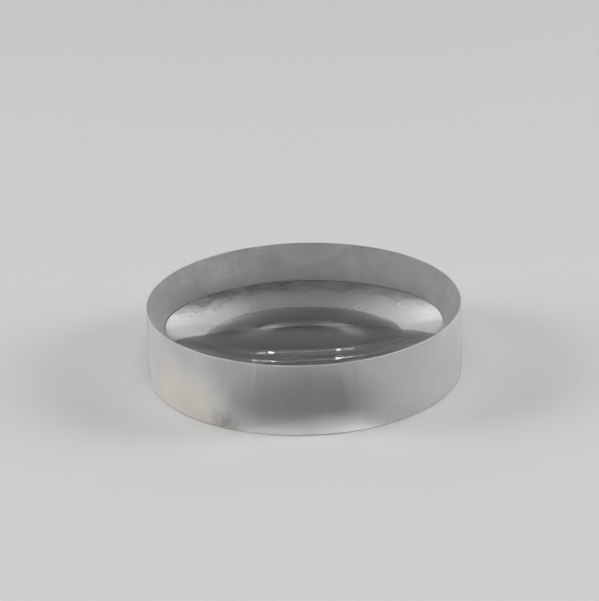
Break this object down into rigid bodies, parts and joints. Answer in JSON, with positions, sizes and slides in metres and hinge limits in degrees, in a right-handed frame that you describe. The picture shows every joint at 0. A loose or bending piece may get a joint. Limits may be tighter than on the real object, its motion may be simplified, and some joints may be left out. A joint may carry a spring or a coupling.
{
  "type": "biconcave lens",
  "caption": "Round double-concave glass lens with polished spherical faces, a fine-ground cylindrical edge and narrow protective bevels.",
  "frame": {"origin": "centre of the lower rim circle, in the plane the lens stands on", "axes": "+Z along the optical axis, from the lower face to the upper face"},
  "size_m": [0.08, 0.08, 0.0186],
  "materials": {
    "optical_glass": "clear crown glass, both faces polished, edge and bevels fine ground"
  },
  "bodies": {
    "root": {"lens": "optical_glass"}
  },
  "joints": []
}
